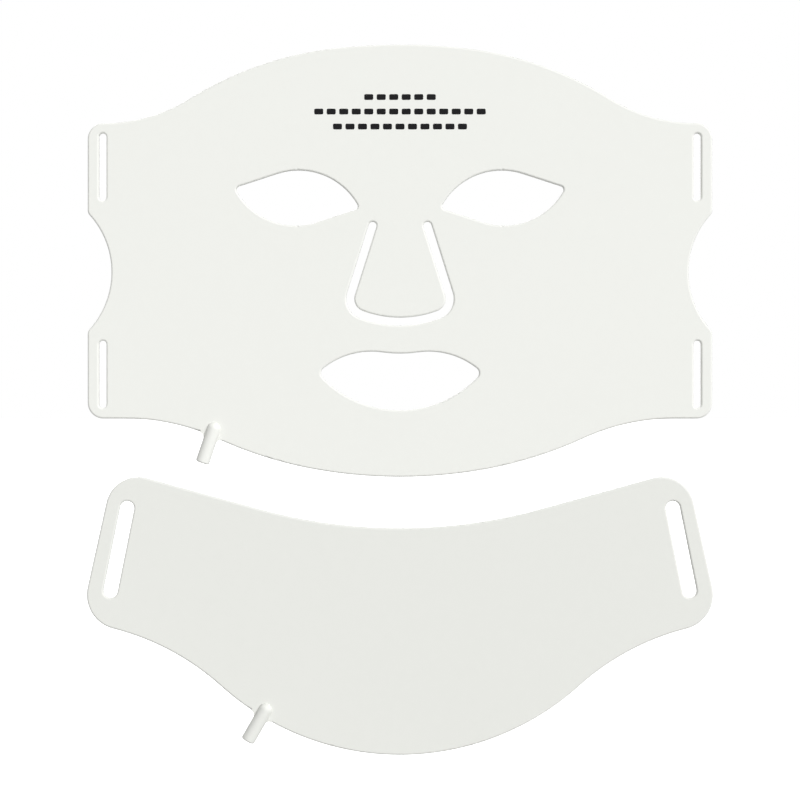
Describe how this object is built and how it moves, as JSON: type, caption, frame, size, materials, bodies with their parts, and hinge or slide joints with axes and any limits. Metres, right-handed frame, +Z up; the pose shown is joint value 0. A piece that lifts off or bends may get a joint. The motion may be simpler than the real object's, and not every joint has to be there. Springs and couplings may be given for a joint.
{
  "type": "led face mask",
  "caption": "Flexible silicone light-therapy face mask with a matching neck panel, strap slots, eye, nose and mouth cut-outs and cable sockets.",
  "frame": {"origin": "on the middle line at eye height, on the skin side of the face panel", "axes": "+X to the right as seen from the front, +Y from the outer face towards the wearer, +Z up"},
  "size_m": [0.2508, 0.0056, 0.2844],
  "materials": {
    "front_silicone": "satin",
    "rear_silicone": "satin",
    "flexible_circuit": "satin",
    "red_led": "gloss",
    "infrared_led": "gloss",
    "resistor": "satin",
    "wire_insulation": "satin",
    "solder": "satin",
    "socket_plastic": "satin",
    "ferrule_nickel": "polished",
    "contact_brass": "satin"
  },
  "bodies": {
    "face_centre": {"face_centre_circuit": "flexible_circuit", "face_centre_front_skin": "front_silicone", "face_centre_infrared_leds": "infrared_led", "face_centre_rear_skin": "rear_silicone", "face_centre_red_leds": "red_led"},
    "face_left_side": {"face_lead_wires": "wire_insulation", "face_left_circuit": "flexible_circuit", "face_left_front_skin": "front_silicone", "face_left_infrared_leds": "infrared_led", "face_left_rear_skin": "rear_silicone", "face_left_red_leds": "red_led", "face_resistors": "resistor", "face_socket_body": "socket_plastic", "face_socket_contacts": "contact_brass", "face_socket_ferrule": "ferrule_nickel", "face_solder_joints": "solder"},
    "face_right_side": {"face_right_circuit": "flexible_circuit", "face_right_front_skin": "front_silicone", "face_right_infrared_leds": "infrared_led", "face_right_rear_skin": "rear_silicone", "face_right_red_leds": "red_led"},
    "neck_centre": {"neck_centre_circuit": "flexible_circuit", "neck_centre_front_skin": "front_silicone", "neck_centre_infrared_leds": "infrared_led", "neck_centre_rear_skin": "rear_silicone", "neck_centre_red_leds": "red_led"},
    "neck_left_side": {"neck_lead_wires": "wire_insulation", "neck_left_circuit": "flexible_circuit", "neck_left_front_skin": "front_silicone", "neck_left_infrared_leds": "infrared_led", "neck_left_rear_skin": "rear_silicone", "neck_left_red_leds": "red_led", "neck_resistors": "resistor", "neck_socket_body": "socket_plastic", "neck_socket_contacts": "contact_brass", "neck_socket_ferrule": "ferrule_nickel", "neck_solder_joints": "solder"},
    "neck_right_side": {"neck_right_circuit": "flexible_circuit", "neck_right_front_skin": "front_silicone", "neck_right_infrared_leds": "infrared_led", "neck_right_rear_skin": "rear_silicone", "neck_right_red_leds": "red_led"},
    "nose_flap": {"nose_flap_circuit": "flexible_circuit", "nose_flap_front_skin": "front_silicone", "nose_flap_infrared_leds": "infrared_led", "nose_flap_rear_skin": "rear_silicone", "nose_flap_red_leds": "red_led"}
  },
  "joints": [
    {"name": "face_left_wrap", "type": "hinge", "parent": "face_centre", "child": "face_left_side", "pos_m": [-0.041, 0, -0.026], "axis": [0, 0, -1], "range_deg": [0, 60], "stiffness_Nm_per_rad": 0.02},
    {"name": "face_right_wrap", "type": "hinge", "parent": "face_centre", "child": "face_right_side", "pos_m": [0.041, 0, -0.026], "axis": [0, 0, 1], "range_deg": [0, 60], "stiffness_Nm_per_rad": 0.02},
    {"name": "nose_flap_lift", "type": "hinge", "parent": "face_centre", "child": "nose_flap", "pos_m": [0, -0.0032, -0.0118], "axis": [-1, 0, 0], "range_deg": [0, 40], "stiffness_Nm_per_rad": 0.01},
    {"name": "neck_panel_set_apart", "type": "slide", "parent": "face_centre", "child": "neck_centre", "axis": [0, -1, 0], "range_m": [0, 0.1]},
    {"name": "neck_left_wrap", "type": "hinge", "parent": "neck_centre", "child": "neck_left_side", "pos_m": [-0.028, 0, -0.175], "axis": [0, 0, -1], "range_deg": [0, 70], "stiffness_Nm_per_rad": 0.02},
    {"name": "neck_right_wrap", "type": "hinge", "parent": "neck_centre", "child": "neck_right_side", "pos_m": [0.028, 0, -0.175], "axis": [0, 0, 1], "range_deg": [0, 70], "stiffness_Nm_per_rad": 0.02}
  ]
}
